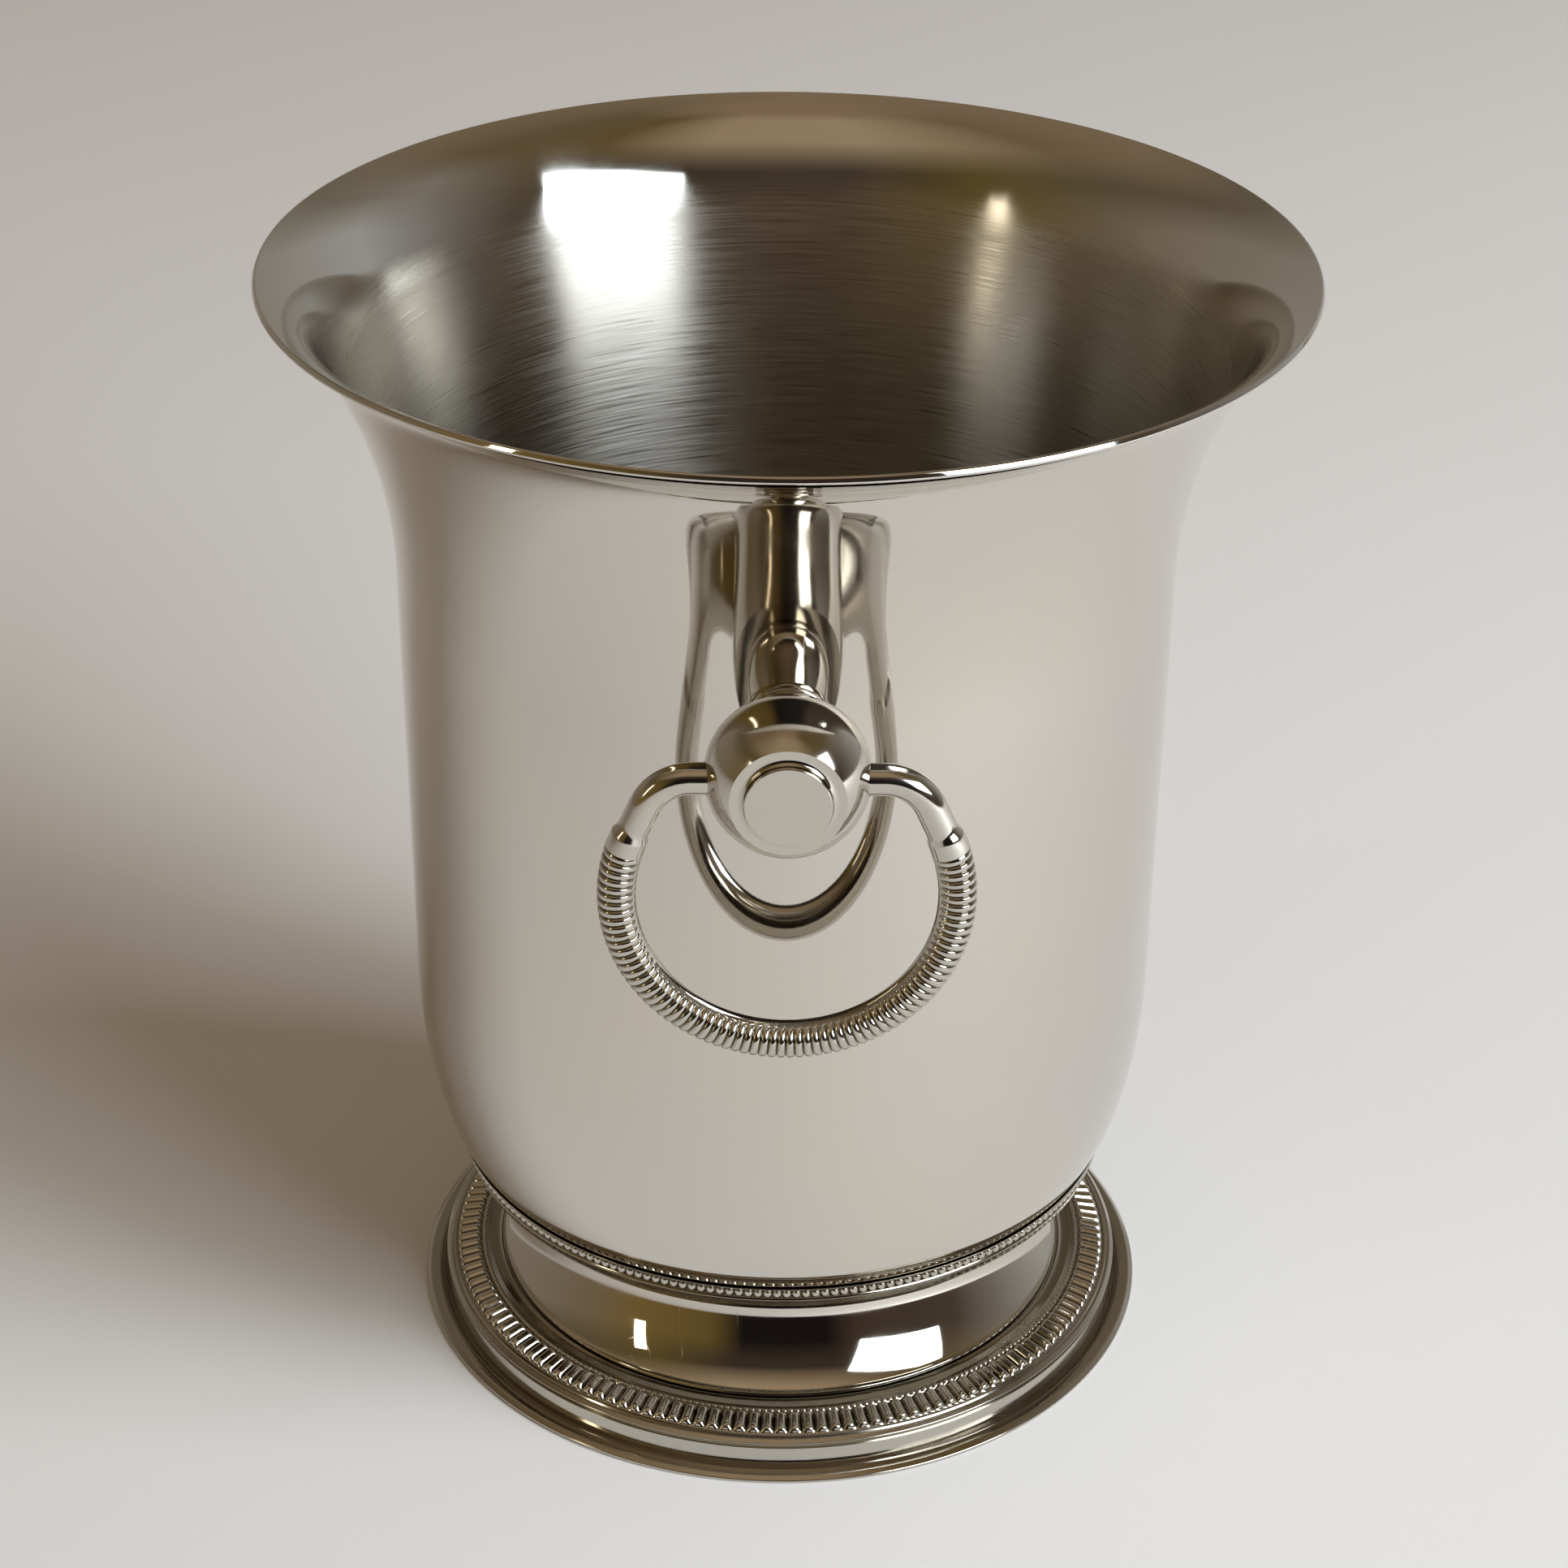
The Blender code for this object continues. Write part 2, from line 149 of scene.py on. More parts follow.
def ellipse(centre, width, height, start, end, steps):
    """Points between two angles in degrees, measured from +radius towards +height."""
    angles = np.radians(np.linspace(start, end, steps + 1))
    return [(centre[0] + width * math.cos(a), centre[1] + height * math.sin(a)) for a in angles]


def straight(start, end, steps):
    return [tuple(np.array(start) + (np.array(end) - start) * i / steps) for i in range(steps + 1)]


def rounded(corners, closed=False, arc_step=math.radians(12)):
    """An outline through (radius, height, fillet) corners, with an arc at each corner that has a fillet."""
    outline = []
    for i, (r, z, fillet) in enumerate(corners):
        here = Vector((r, z))
        if not fillet or (not closed and i in (0, len(corners) - 1)):
            outline.append((r, z))
            continue
        before = Vector(corners[i - 1][:2]) - here
        after = Vector(corners[(i + 1) % len(corners)][:2]) - here
        half = before.angle(after) / 2
        reach = min(fillet / math.tan(half), 0.49 * before.length, 0.49 * after.length)
        middle = (before.normalized() + after.normalized()).normalized()
        centre = here + middle * reach / math.cos(half)
        first = here + before.normalized() * reach - centre
        last = here + after.normalized() * reach - centre
        start = math.atan2(first.y, first.x)
        sweep = (math.atan2(last.y, last.x) - start + math.pi) % TURN - math.pi
        steps = max(2, math.ceil(abs(sweep) / arc_step))
        for k in range(steps + 1):
            angle = start + sweep * k / steps
            across, up = first.length * math.cos(angle), first.length * math.sin(angle)
            outline.append((centre.x + across, centre.y + up))
    return outline


def resampled(points, spacing):
    points = np.array(points)
    along = np.concatenate([[0], np.cumsum(np.linalg.norm(np.diff(points, axis=0), axis=1))])
    wanted = np.linspace(0, along[-1], max(2, round(along[-1] / spacing)) + 1)
    return np.stack([np.interp(wanted, along, points[:, 0]), np.interp(wanted, along, points[:, 1])], axis=1)


def smoothed(points, rounds):
    """The outline with its changes of curvature softened; its two ends stay."""
    points = np.array(points)
    for _ in range(rounds):
        points[1:-1] = (points[:-2] + 2 * points[1:-1] + points[2:]) / 4
    return points


def offset(points, distance):
    """The outline moved to the left of its direction of travel."""
    points = np.array(points)
    along = np.gradient(points, axis=0)
    along /= np.linalg.norm(along, axis=1)[:, None]
    return points + np.stack([-along[:, 1], along[:, 0]], axis=1) * distance


# ---------------------------------------------------------------- meshes

def add_piece(name, verts, faces, body, node, materials, corners=None, paint=None, recess_shade=None):
    """A mesh that rides on a body and stands for a CAD node. corners holds a (u, v) for each face corner."""
    verts = np.array(verts)
    if enclosed_volume(verts, faces) < 0:
        faces = [face[::-1] for face in faces]
        corners = corners and [corner[::-1] for corner in corners]
    mesh = bpy.data.meshes.new(name)
    mesh.from_pydata(verts.tolist(), [], faces)
    for material in materials:
        mesh.materials.append(material)
    if paint is not None:
        mesh.polygons.foreach_set("material_index", paint)
    if corners:
        layer = mesh.uv_layers.new(name="turned")
        layer.data.foreach_set("uv", [value for face in corners for corner in face for value in corner])
    # a point attribute: how much painted shade, with tarnish, each recess gets
    if recess_shade is not None:
        attribute = mesh.attributes.new("recess_shade", "FLOAT", "POINT")
        attribute.data.foreach_set("value", np.array(recess_shade, np.float32))
    mesh.shade_smooth()
    mesh.set_sharp_from_angle(angle=SHARP)
    mesh.validate()
    piece = bpy.data.objects.new(name, mesh)
    bpy.context.scene.collection.objects.link(piece)
    weights = piece.modifiers.new("weighted_normals", "WEIGHTED_NORMAL")
    weights.keep_sharp = True
    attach(piece, body)
    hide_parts(node)
    return piece


def enclosed_volume(verts, faces):
    """Six times the volume inside, positive when the faces point outward."""
    total = 0.0
    for size in {len(face) for face in faces}:
        ring = verts[np.array([face for face in faces if len(face) == size])]
        for i in range(1, size - 1):
            total += np.einsum("ij,ij->", ring[:, 0], np.cross(ring[:, i], ring[:, i + 1]))
    return total


def band_faces(lower, upper):
    """Faces between two rows of a turned surface, whose step counts are multiples of each other."""
    steps = [len(row) for row in (lower, upper)]
    sectors = max(steps) if min(steps) == 1 else min(steps)
    faces = []
    for j in range(sectors):
        sides = []
        for row, count in zip((lower, upper), steps):
            each = max(1, count // sectors)
            span = range(j * each, (j + 1) * each + 1) if count > 1 else range(1)
            sides.append([(row[k % count], k / count if count > 1 else (j + 0.5) / sectors) for k in span])
        faces.append(sides[0] + sides[1][::-1])
    return faces


def turned(runs, relief=None, closed=False):
    """Vertices, faces, face corners, face paint and painted recess shade of a surface turned round Z.

    Each run is (outline, steps, paint). relief(angles, r, z) lifts the surface along its outline's normal and
    returns (lift, shade) for each angle, where shade is how much painted shade a recess gets. The u of a face
    corner is its share of a turn, its v a length.
    """
    outline = np.array([point for points, _, _ in runs for point in points])
    counts = [steps for points, steps, _ in runs for _ in points]
    paints = [paint for points, _, paint in runs for _ in points]
    along = np.concatenate([[0], np.cumsum(np.linalg.norm(np.diff(outline, axis=0), axis=1))])
    normals = offset(outline, 1.0) - outline
    verts, rows, recess_shade = [], [], []
    for (r, z), count, (nr, nz) in zip(outline, counts, normals):
        count = 1 if r < ON_AXIS else count
        angles = np.arange(count) * TURN / count
        lift, depth = relief(angles, r, z) if relief and count > 1 else (np.zeros(count), np.zeros(count))
        out = r + nr * lift
        rows.append(list(range(len(verts), len(verts) + count)))
        verts.extend(zip(out * np.cos(angles), out * np.sin(angles), z + nz * lift))
        recess_shade.extend(depth)
    pairs = [(i, i + 1) for i in range(len(rows) - 1)] + ([(len(rows) - 1, 0)] if closed else [])
    faces, corners, paint = [], [], []
    for a, b in pairs:
        if len(rows[a]) == 1 and len(rows[b]) == 1:
            continue
        in_a = set(rows[a])
        for face in band_faces(rows[a], rows[b]):
            faces.append([vertex for vertex, _ in face])
            corners.append([(share, along[a] if vertex in in_a else along[b]) for vertex, share in face])
            paint.append(paints[a])
    return verts, faces, corners, paint, recess_shade


def turned_piece(name, runs, body, node, materials, relief=None, closed=False, place=None, shape=None):
    """shape changes the vertices in the piece's own axes, before place turns them into the object's frame."""
    verts, faces, corners, paint, recess_shade = turned(runs, relief, closed)
    verts = np.array(verts)
    if shape:
        verts = shape(verts)
    if place:
        matrix = np.array(place)
        verts = verts @ matrix[:3, :3].T + matrix[:3, 3]
    return add_piece(name, verts, faces, body, node, materials, corners, paint, recess_shade)


# ---------------------------------------------------------------- materials

def node(tree, kind, inputs=None, **settings):
    """A shader node. Each input is a value or the socket that feeds it."""
    made = tree.nodes.new("ShaderNode" + kind)
    for key, value in settings.items():
        setattr(made, key, value)
    for key, value in (inputs or {}).items():
        if isinstance(value, bpy.types.NodeSocket):
            tree.links.new(value, made.inputs[key])
        else:
            made.inputs[key].default_value = value
    return made


def metal(name, colour, roughness):
    material = bpy.data.materials.new(name)
    material.use_nodes = True
    shader = material.node_tree.nodes["Principled BSDF"]
    shader.inputs["Base Color"].default_value = (*colour, 1.0)
    shader.inputs["Metallic"].default_value = 1.0
    shader.inputs["Roughness"].default_value = roughness
    return material, material.node_tree, shader


def noise(tree, place, scale, detail=2.0, stretch=(1.0, 1.0, 1.0), turn=(0.0, 0.0, 0.0)):
    mapped = node(tree, "Mapping", {"Vector": place, "Scale": stretch, "Rotation": turn})
    return node(tree, "TexNoise", {"Vector": mapped.outputs[0], "Scale": scale, "Detail": detail}).outputs[0]


def ranged(tree, value, low, high, new_low, new_high):
    return node(
        tree, "MapRange",
        {"Value": value, "From Min": low, "From Max": high, "To Min": new_low, "To Max": new_high},
    ).outputs[0]


def maths(tree, operation, a, b=0.0):
    return node(tree, "Math", {0: a, 1: b}, operation=operation).outputs[0]


def mixed(tree, share, first, second):
    made = node(tree, "Mix", {"Factor": share}, data_type="RGBA")
    for socket, value in ((made.inputs[6], first), (made.inputs[7], second)):
        if isinstance(value, bpy.types.NodeSocket):
            tree.links.new(value, socket)
        else:
            socket.default_value = (*value, 1.0)
    return made.outputs[2]


def scratches(tree, place, scale, turn, width):
    """1 on thin, nearly straight scratches and 0 elsewhere."""
    long = noise(tree, place, scale, 1.0, (1.0, 1.0, 0.06), turn)
    line = maths(tree, "LESS_THAN", maths(tree, "ABSOLUTE", maths(tree, "SUBTRACT", long, 0.5)), width)
    patch = maths(tree, "GREATER_THAN", noise(tree, place, 28.0, 2.0, turn=turn), 0.60)
    return maths(tree, "MULTIPLY", line, patch)


SILVER = (0.67, 0.645, 0.60)
# a darker copy of the silver: painted shade for the small pieces, which reflect a dim room
SHADED_SILVER = (0.58, 0.555, 0.505)
# tarnish and painted shade, mixed into the recesses of worked silver
TARNISH_AND_SHADE = (0.24, 0.21, 0.145)


def polished(name, smudge=0.05, wave=0.12, shades_recesses=False, shine=0.035, base=SILVER):
    """Mirror-polished silver with soft smudges, hairline scratches and the slight waves of worked sheet;
    where asked, tarnish and painted shade darken its recesses.
    """
    material, tree, shader = metal(name, base, 0.04)
    place = node(tree, "TexCoord").outputs["Object"]
    cloud = noise(tree, place, 18.0, 5.0)
    warmer = tuple(c * f for c, f in zip(base, (1.03, 1.0, 0.95)))
    warm = mixed(tree, ranged(tree, cloud, 0.35, 0.7, 0.0, 1.0), base, warmer)
    if shades_recesses:
        # painted shade with tarnish: darker where the recess attribute is higher
        depth = node(tree, "Attribute", attribute_name="recess_shade").outputs["Fac"]
        warm = mixed(tree, depth, warm, TARNISH_AND_SHADE)
    tree.links.new(warm, shader.inputs["Base Color"])
    lines = scratches(tree, place, 90.0, (0.9, 0.5, 0.9), 0.0016)
    lines = maths(tree, "MAXIMUM", lines, scratches(tree, place, 70.0, (1.3, -0.7, 2.1), 0.0014))
    film = ranged(tree, noise(tree, place, 42.0, 6.0), 0.5, 0.72, 0.0, smudge)
    rough = maths(tree, "ADD", maths(tree, "ADD", film, shine), maths(tree, "MULTIPLY", lines, 0.10))
    tree.links.new(rough, shader.inputs["Roughness"])
    ripple = noise(tree, place, 22.0, 1.0)
    waves = node(tree, "Bump", {"Height": ripple, "Distance": 0.25 * MM, "Strength": wave})
    marks = node(
        tree, "Bump",
        {"Height": lines, "Distance": 0.01 * MM, "Strength": 0.25, "Normal": waves.outputs[0]}, invert=True,
    )
    tree.links.new(marks.outputs[0], shader.inputs["Normal"])
    return material


def brushed_inside(name):
    """Fine brushing round the bowl, up to a worn edge below the polished lip; the brushed part is painted
    darker than the silver, as shade inside the bowl, in bands of random tone.
    """
    material, tree, shader = metal(name, SILVER, 0.3)
    shader.inputs["Anisotropic"].default_value = 0.94
    shader.inputs["Anisotropic Rotation"].default_value = 0.25
    place = node(tree, "TexCoord").outputs
    around = TURN * WALL_LOW_R
    uv = place["UV"]
    strokes = noise(tree, uv, 1.0, 3.0, (around * 90.0, 9000.0, 1.0))
    bands = noise(tree, uv, 1.0, 2.0, (around * 55.0, 2300.0, 1.0))
    height = node(tree, "SeparateXYZ", {0: place["Object"]}).outputs[2]
    edge = maths(tree, "ADD", height, ranged(tree, bands, 0.3, 0.7, -0.6 * MM, 0.6 * MM))
    brushed = ranged(tree, edge, BRUSHED_TOP_Z - 6 * MM, BRUSHED_TOP_Z + 3 * MM, 1.0, 0.0)
    satin = ranged(tree, bands, 0.3, 0.7, 0.27, 0.42)
    clean = ranged(tree, noise(tree, place["Object"], 42.0, 6.0), 0.5, 0.72, 0.04, 0.09)
    blend = node(tree, "Mix", {"Factor": brushed, 2: clean, 3: satin}, data_type="FLOAT")
    tree.links.new(blend.outputs[0], shader.inputs["Roughness"])
    tone = ranged(tree, bands, 0.3, 0.7, 0.0, 1.0)
    # painted shade for the inside: darker than the silver, in bands of random tone
    shaded_tint = mixed(tree, tone, (0.46, 0.43, 0.375), (0.61, 0.58, 0.525))
    tree.links.new(mixed(tree, brushed, SILVER, shaded_tint), shader.inputs["Base Color"])
    strength = maths(tree, "MULTIPLY", brushed, 0.2)
    bump = node(tree, "Bump", {"Height": strokes, "Distance": 0.02 * MM, "Strength": strength})
    tree.links.new(bump.outputs[0], shader.inputs["Normal"])
    tangent = node(tree, "Tangent", direction_type="RADIAL", axis="Z")
    tree.links.new(tangent.outputs[0], shader.inputs["Tangent"])
    return material


def plain_steel(name):
    """Turned fixing steel with fine tool marks."""
    material, tree, shader = metal(name, (0.50, 0.49, 0.47), 0.32)
    place = node(tree, "TexCoord").outputs["Object"]
    grain = noise(tree, place, 900.0, 3.0)
    cloud = noise(tree, place, 120.0, 4.0)
    tree.links.new(ranged(tree, cloud, 0.3, 0.7, 0.24, 0.42), shader.inputs["Roughness"])
    tree.links.new(mixed(tree, cloud, (0.42, 0.41, 0.39), (0.58, 0.57, 0.55)), shader.inputs["Base Color"])
    bump = node(tree, "Bump", {"Height": grain, "Distance": 0.02 * MM, "Strength": 0.4})
    tree.links.new(bump.outputs[0], shader.inputs["Normal"])
    return material


POLISHED = polished("polished_silver")
# the worked and small pieces are painted darker as shade; worked silver also gets tarnish and painted shade
# in its recesses
WORKED = polished("worked_silver", smudge=0.1, wave=0.0, shades_recesses=True, shine=0.10, base=SHADED_SILVER)
SMALL = polished("small_polished_silver", smudge=0.10, wave=0.0, shine=0.10, base=SHADED_SILVER)
INSIDE = brushed_inside("brushed_silver")
STEEL = plain_steel("fixing_steel")


# ---------------------------------------------------------------- bowl

def wall_radius(z):
    """The outside of the bowl above its lower corner."""
    rise = min(1.0, max(0.0, (z - CORNER_Z) / (FLARE_Z - CORNER_Z)))
    wall = WALL_LOW_R + (WALL_HIGH_R - WALL_LOW_R) * rise * rise * (3 - 2 * rise)
    flare = max(0.0, (z - FLARE_Z) / (LIP_Z - FLARE_Z))
    return wall + (RIM_R - WALL_HIGH_R - LIP_TURN) * flare**FLARE_POWER + LIP_TURN * flare**LIP_TURN_POWER


def make_shell():
    """The bowl, turned from an outline of its outside and the same outline moved in by the sheet."""
    corner = ellipse((CORNER_R, CORNER_Z), WALL_LOW_R - CORNER_R, CORNER_Z - FLOOR_Z, -90, 0, 90)
    rise = [(wall_radius(z), z) for z in np.linspace(CORNER_Z, LIP_Z, 600)[1:]]
    side = smoothed(resampled([(FLOOR_FLAT_R, FLOOR_Z), *corner, *rise], OUTLINE_STEP), rounds=4)
    outside = np.array([(0.0, FLOOR_Z), *side])
    inside = offset(outside, SHEET)
    inside[0] = (0.0, FLOOR_Z + SHEET)
    edge = rounded([
        (*inside[-2], 0),
        (*inside[-1], LIP_FILLET),
        (*outside[-1], LIP_FILLET),
        (*outside[-2], 0),
    ])
    runs = [
        (inside[:-2], BODY_STEPS, 1),
        (edge, BODY_STEPS, 1),
        (outside[:-2][::-1], BODY_STEPS, 0),
    ]
    turned_piece("silver_bowl", runs, "bucket", "bucket_shell", [POLISHED, INSIDE])
    return outside


# ---------------------------------------------------------------- foot

def row_reach(angles, count, across):
    """The square of a round bead's height in a row of them, from 0 at its edge to 1 at its top."""
    phase = (angles * count / TURN) % 1.0 - 0.5
    return np.clip(1 - (phase / ROW_HALF) ** 2 - across**2, 0, 1)


def bead_relief(angles, r, z):
    """Round beads in a row, standing in a shallow channel, with painted shade between the beads; the collar
    takes painted shade with tarnish, darkest at its lower edge.
    """
    across = (z - BEAD_Z) / BEAD_HALF
    if abs(across) >= 1:
        # painted shade with tarnish: full at the collar's lower edge, about half over the rest
        edge = z < COLLAR_LOW.z + 1.6 * MM
        return np.zeros(len(angles)), np.full(len(angles), 1.0 if edge else 0.55)
    reach = row_reach(angles, BEADS, across)
    # painted shade between the beads
    return BEAD_LIFT * np.sqrt(reach), np.clip(1.0 - reach * 2.2, 0.1, 1)


def make_collar(bowl):
    """The beaded ring, seated on the bowl's corner: a fillet, a channel with beads, and a lower fillet."""
    top_r, top_z = COLLAR_HIGH.x - 0.7 * MM, COLLAR_HIGH.z - 0.6 * MM
    bottom_z = COLLAR_LOW.z
    inner_r = NECK_HIGH.x + 0.3 * MM
    below_bowl = offset(bowl, -0.15 * MM)
    seat = [(r, z) for r, z in below_bowl if FLOOR_Z < z < top_z - 0.6 * MM and r > inner_r + MM]
    upper = rounded([
        (*seat[-1], 0),
        (top_r - 0.1 * MM, top_z, 0.05 * MM),
        (top_r, top_z - 0.25 * MM, 0.1 * MM),
        (top_r - 0.35 * MM, top_z - 0.45 * MM, 0.1 * MM),
        (top_r - 0.6 * MM, BEAD_Z + 1.1 * MM, 0),
    ])
    channel = straight((top_r - 0.95 * MM, BEAD_Z + 1.0 * MM), (top_r - 1.25 * MM, BEAD_Z - 1.0 * MM), 12)
    lower = rounded([
        (top_r - 0.9 * MM, BEAD_Z - 1.2 * MM, 0),
        (top_r - 0.75 * MM, BEAD_Z - 1.6 * MM, 0.2 * MM),
        (top_r - 1.5 * MM, BEAD_Z - 3.4 * MM, 0.8 * MM),
        (top_r - 3.4 * MM, bottom_z + 0.1 * MM, 0.6 * MM),
        (top_r - 4.4 * MM, bottom_z, 0.3 * MM),
        (inner_r, bottom_z, 0),
        (inner_r, FLOOR_Z - 0.1 * MM, 0),
    ])
    runs = [
        (upper, COLLAR_STEPS, 0),
        (channel, BEADS * BEAD_STEPS, 0),
        (lower + seat[:-1], COLLAR_STEPS, 0),
    ]
    turned_piece(
        "silver_bead_collar", runs, "bucket", "bead_collar", [WORKED],
        relief=bead_relief, closed=True,
    )


def make_neck():
    """The waisted upper foot, drawn from sheet, with its flat web under the bowl."""
    waist_r, waist_z = 49.45 * MM, 31.7 * MM
    shoulder_r, shoulder_height = 9.0 * MM, 2.6 * MM
    sweep_r, sweep_end = 31.0 * MM, 47
    upper = ellipse((waist_r + shoulder_r, waist_z), -shoulder_r, shoulder_height, 90, 0, 24)
    lower = ellipse((waist_r + sweep_r, waist_z), -sweep_r, -sweep_r, 0, sweep_end, 60)
    sheet = 1.2 * MM
    web_top = NECK_HIGH.z
    web_r = NECK_HIGH.x
    inside = offset(lower, -sheet)
    outline = [(web_r, web_top), (web_r, web_top - sheet), *upper[:-1], *lower]
    edge = lower[-1]
    rim = rounded([
        (*lower[-2], 0),
        (edge[0] + 0.35 * MM, edge[1], 0.25 * MM),
        (edge[0] + 0.6 * MM, NECK_LOW.z, 0.1 * MM),
        (inside[-1][0], NECK_LOW.z, 0),
    ])
    hole_r = 7.0 * MM
    under = [*inside[::-1][1:], (inside[0][0], web_top - sheet), (hole_r, web_top - sheet), (hole_r, web_top)]
    runs = [(outline[:-2], FOOT_STEPS, 0), (rim + under, FOOT_STEPS, 0)]
    turned_piece("silver_foot_neck", runs, "bucket", "foot_neck", [POLISHED], closed=True)


def pearl_relief(angles, r, z):
    """Tiny beads in a row along the inner ends of the reeds."""
    across = (r - PEARL_R) / PEARL_HALF
    reach = row_reach(angles, PEARLS, across)
    # painted shade between the pearls
    return PEARL_LIFT * np.sqrt(reach), np.clip(0.8 - reach * 2.5, 0, 1)


def reed_relief(angles, r, z):
    """Half-round radial reeds with rounded ends."""
    phase = (angles * REEDS / TURN + 0.5) % 1.0 - 0.5
    end = min(r - REED_IN, (REED_OUT - r) / 1.6) / (0.8 * MM)
    end = 1.0 if end > 1 else math.sqrt(max(0.0, 1 - (1 - end) ** 2))
    swell = np.sqrt(np.clip(1 - (phase / 0.42) ** 2, 0, 1))
    # painted shade between the reeds, less at their rounded ends
    return REED_LIFT * swell * end, np.clip(1.0 - swell * 1.7, 0, 1) * min(1.0, 2 * end)


def border_relief(angles, r, z):
    """Pearls and reeds on their own runs, told apart by their steps, and tarnish with painted shade in
    channel and grooves.
    """
    if len(angles) == PEARLS * PEARL_STEPS:
        return pearl_relief(angles, r, z)
    if len(angles) == REEDS * REED_STEPS:
        return reed_relief(angles, r, z)
    in_channel = 60.9 * MM < r < REED_IN and z > 7.5 * MM
    above_band = 71.6 * MM < r < 71.95 * MM and 5.1 * MM < z < 5.9 * MM
    below_band = 73.05 * MM < r < 73.4 * MM and z > 0.1 * MM
    # painted shadow in the undercut under the roll and in the groove at the band's foot; painted shade with
    # tarnish in the channel, a little elsewhere
    recess_shade = 1.0 if above_band or below_band else 0.7 if in_channel else 0.15
    return np.zeros(len(angles)), np.full(len(angles), recess_shade)


def make_border():
    """The struck border: ledge, channel with painted shade, tiny beads, reeds, fillet, roll, upright band and
    flange.
    """
    ledge_r, ledge_z = 56.6 * MM, 8.2 * MM
    rest_r = 71.0 * MM
    inner = rounded([
        (ledge_r, ledge_z - 1.2 * MM, 0),
        (ledge_r, ledge_z, 0.2 * MM),
        (60.2 * MM, ledge_z, 0.2 * MM),
        (60.5 * MM, 8.45 * MM, 0.15 * MM),
        (61.2 * MM, 8.1 * MM, 0.8 * MM),
        (62.6 * MM, 8.0 * MM, 0.8 * MM),
        (PEARL_R - PEARL_HALF - 0.05 * MM, PEARL_Z, 0),
    ])
    pearls = [(r, PEARL_Z) for r in np.linspace(PEARL_R - PEARL_HALF, PEARL_R + PEARL_HALF, 8)]
    reeds = [(r, 8.15 * MM - (r - REED_IN) * 0.20) for r in np.linspace(REED_IN, REED_OUT, 22)]
    outer = rounded([
        (70.15 * MM, 6.95 * MM, 0),
        (70.35 * MM, 7.25 * MM, 0.1 * MM),
        (70.85 * MM, 7.2 * MM, 0.15 * MM),
        (71.1 * MM, 6.8 * MM, 0.1 * MM),
        (71.5 * MM, 7.05 * MM, 0.3 * MM),
        (72.35 * MM, 6.35 * MM, 0.25 * MM),
        (72.3 * MM, 6.0 * MM, 0.15 * MM),
        (71.8 * MM, 5.75 * MM, 0.1 * MM),
        (71.8 * MM, 5.2 * MM, 0.05 * MM),
        (72.05 * MM, 4.95 * MM, 0.1 * MM),
        (72.9 * MM, 0.75 * MM, 0.1 * MM),
        (73.15 * MM, 0.45 * MM, 0.1 * MM),
        (73.5 * MM, 0.6 * MM, 0.1 * MM),
        (73.9 * MM, 1.5 * MM, 0.6 * MM),
        (75.9 * MM, 1.5 * MM, 1.0 * MM),
        (FOOT_R, 0.7 * MM, 0.4 * MM),
        (FOOT_R - 0.2 * MM, 0.0, 0.3 * MM),
        (rest_r, 0.0, 0.3 * MM),
        (rest_r, 5.0 * MM, 0.8 * MM),
        (69.2 * MM, 5.7 * MM, 0.5 * MM),
        (63.0 * MM, ledge_z - 1.2 * MM, 1.0 * MM),
        (ledge_r + 0.4 * MM, ledge_z - 1.2 * MM, 0),
    ])
    runs = [
        (inner, FOOT_STEPS, 0),
        (pearls, PEARLS * PEARL_STEPS, 0),
        (reeds, REEDS * REED_STEPS, 0),
        (outer, FOOT_STEPS, 0),
    ]
    turned_piece(
        "silver_foot_border", runs, "bucket", "foot_border", [WORKED],
        relief=border_relief, closed=True,
    )


# ---------------------------------------------------------------- foot fixing

def make_stud():
    """The threaded stud with its pad under the floor of the bowl."""
    low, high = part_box("foot_stud")
    stud_r = 4.0 * MM
    crest_r, root_r = stud_r - 0.05 * MM, stud_r - 0.55 * MM
    pitch = 1.25 * MM
    thread = []
    z = low.z + 0.8 * MM
    pad_z = high.z - 1.0 * MM
    while z < pad_z - pitch:
        thread += [(root_r, z), (crest_r, z + 0.55 * pitch), (crest_r, z + 0.7 * pitch)]
        z += pitch
    stud = [(0.0, low.z), (stud_r - 0.9 * MM, low.z), (stud_r - 0.5 * MM, low.z + 0.5 * MM), *thread]
    stud += rounded([
        (stud_r - 0.5 * MM, pad_z - 0.3 * MM, 0),
        (stud_r - 0.4 * MM, pad_z, 0),
        (high.x, pad_z, 0.25 * MM),
        (high.x, high.z, 0),
        (0.0, high.z, 0),
    ])
    turned_piece("steel_foot_stud", [(stud, LUG_STEPS, 0)], "bucket", "foot_stud", [STEEL])


def make_plate(name, edge):
    """A round plate or washer with a hole for the stud and an edge rounded by a fillet."""
    low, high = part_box(name)
    ring = rounded([
        (STUD_HOLE_R, low.z, 0.1 * MM),
        (STUD_HOLE_R, high.z, 0.1 * MM),
        (high.x, high.z, edge),
        (high.x, low.z, edge),
    ], closed=True)
    turned_piece(
        f"steel_{name}", [(ring, LUG_STEPS, 0)], "bucket", name, [STEEL], closed=True
    )


